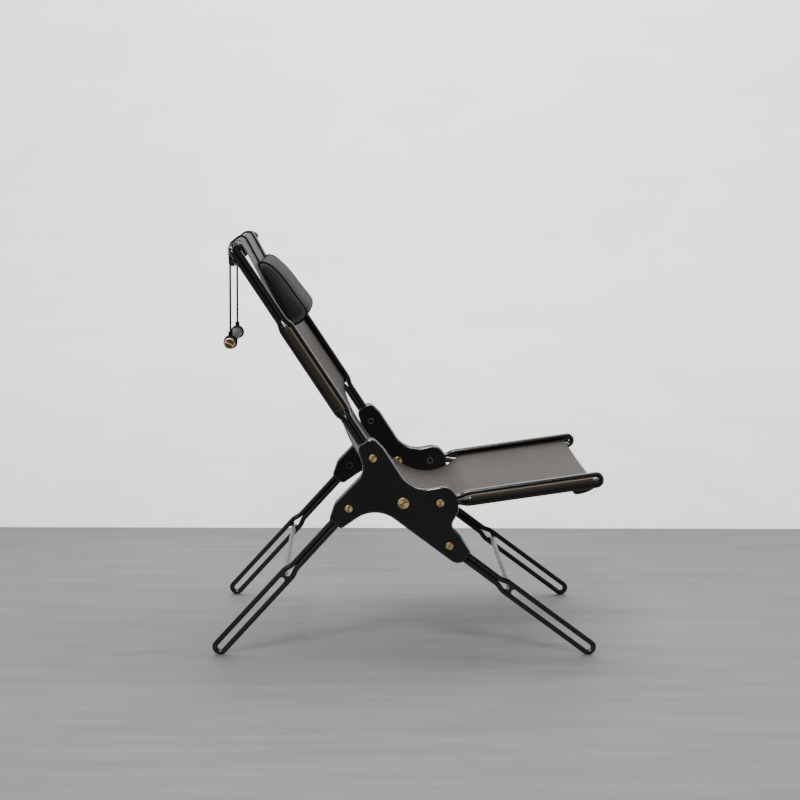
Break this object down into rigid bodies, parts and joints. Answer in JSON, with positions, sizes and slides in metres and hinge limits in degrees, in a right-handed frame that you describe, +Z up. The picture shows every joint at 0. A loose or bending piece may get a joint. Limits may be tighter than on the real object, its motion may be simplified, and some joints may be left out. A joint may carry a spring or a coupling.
{
  "type": "lounge chair",
  "caption": "Leather sling lounge chair on crossed hairpin rod legs, clamped in lacquered side plates, with a sliding headrest cushion balanced by a hanging counterweight",
  "frame": {"origin": "On the floor, under the middle of the chair's length and width.", "axes": "+Z is up, +X points to the front of the seat, and -Y is the side that the picture shows."},
  "size_m": [0.8458, 0.601, 0.9028],
  "materials": {
    "lacquer": "black satin lacquer",
    "rod_black": "black semi-gloss powder coat",
    "crossbar_steel": "grey satin steel",
    "dowel_steel": "satin steel",
    "brass": "turned and slightly dulled",
    "fitting_black": "black satin",
    "hide": "taupe saddle leather with darker hems",
    "cushion_leather": "charcoal soft leather with piping",
    "weight_leather": "brass bar in grey leather",
    "cord": "black braided cord"
  },
  "bodies": {
    "frame": {"back_bow": "rod_black", "back_dowel_far": "dowel_steel", "back_dowel_near": "dowel_steel", "cord_front_far": "cord", "cord_front_near": "cord", "cord_over_far": "cord", "cord_over_near": "cord", "far_inner_cheek": "lacquer", "far_insert_back": "fitting_black", "far_insert_front": "fitting_black", "far_insert_rear": "fitting_black", "far_insert_seat": "fitting_black", "far_nut": "brass", "far_outer_cheek": "lacquer", "far_screw_back": "brass", "far_screw_centre": "brass", "far_screw_front": "brass", "far_screw_rear": "brass", "far_screw_seat": "brass", "front_crossbar": "crossbar_steel", "front_leg_loop_far": "rod_black", "front_leg_loop_near": "rod_black", "front_spool_far": "fitting_black", "front_spool_near": "fitting_black", "hook_rod_far": "rod_black", "hook_rod_near": "rod_black", "near_inner_cheek": "lacquer", "near_insert_back": "fitting_black", "near_insert_front": "fitting_black", "near_insert_rear": "fitting_black", "near_insert_seat": "fitting_black", "near_nut": "brass", "near_outer_cheek": "lacquer", "near_screw_back": "brass", "near_screw_centre": "brass", "near_screw_front": "brass", "near_screw_rear": "brass", "near_screw_seat": "brass", "rear_crossbar": "crossbar_steel", "rear_leg_loop_far": "rod_black", "rear_leg_loop_near": "rod_black", "rear_spool_far": "fitting_black", "rear_spool_near": "fitting_black", "seat_dowel_far": "dowel_steel", "seat_dowel_near": "dowel_steel", "seat_loop_far": "rod_black", "seat_loop_near": "rod_black", "seat_spreader": "fitting_black", "sling": "hide", "top_dowel": "dowel_steel", "top_tube": "rod_black"},
    "headrest_body": {"headrest": "cushion_leather"},
    "hanging_cords": {"cord_drop_far": "cord", "cord_drop_near": "cord"},
    "counterweight": {"cord_ring_far": "cord", "cord_ring_near": "cord", "weight_bar": "weight_leather", "weight_cap_far": "brass", "weight_cap_near": "brass"}
  },
  "joints": [
    {"name": "headrest_slide", "type": "slide", "parent": "frame", "child": "headrest_body", "axis": [-0.4706, 0, 0.8823], "range_m": [-0.1, 0.03], "deforming": ["cord_front_near", "cord_front_far"]},
    {"name": "cord_swing", "type": "hinge", "parent": "frame", "child": "hanging_cords", "pos_m": [-0.39127, 0, 0.84338], "axis": [0, 1, 0], "range_deg": [-20, 20]},
    {"name": "counterweight_lift", "type": "slide", "parent": "hanging_cords", "child": "counterweight", "axis": [0, 0, 1], "range_m": [-0.03, 0.1], "deforming": ["cord_drop_near", "cord_drop_far"]}
  ],
  "couplings": [
    {"joint": "counterweight_lift", "follows": "headrest_slide", "ratio": -1}
  ]
}
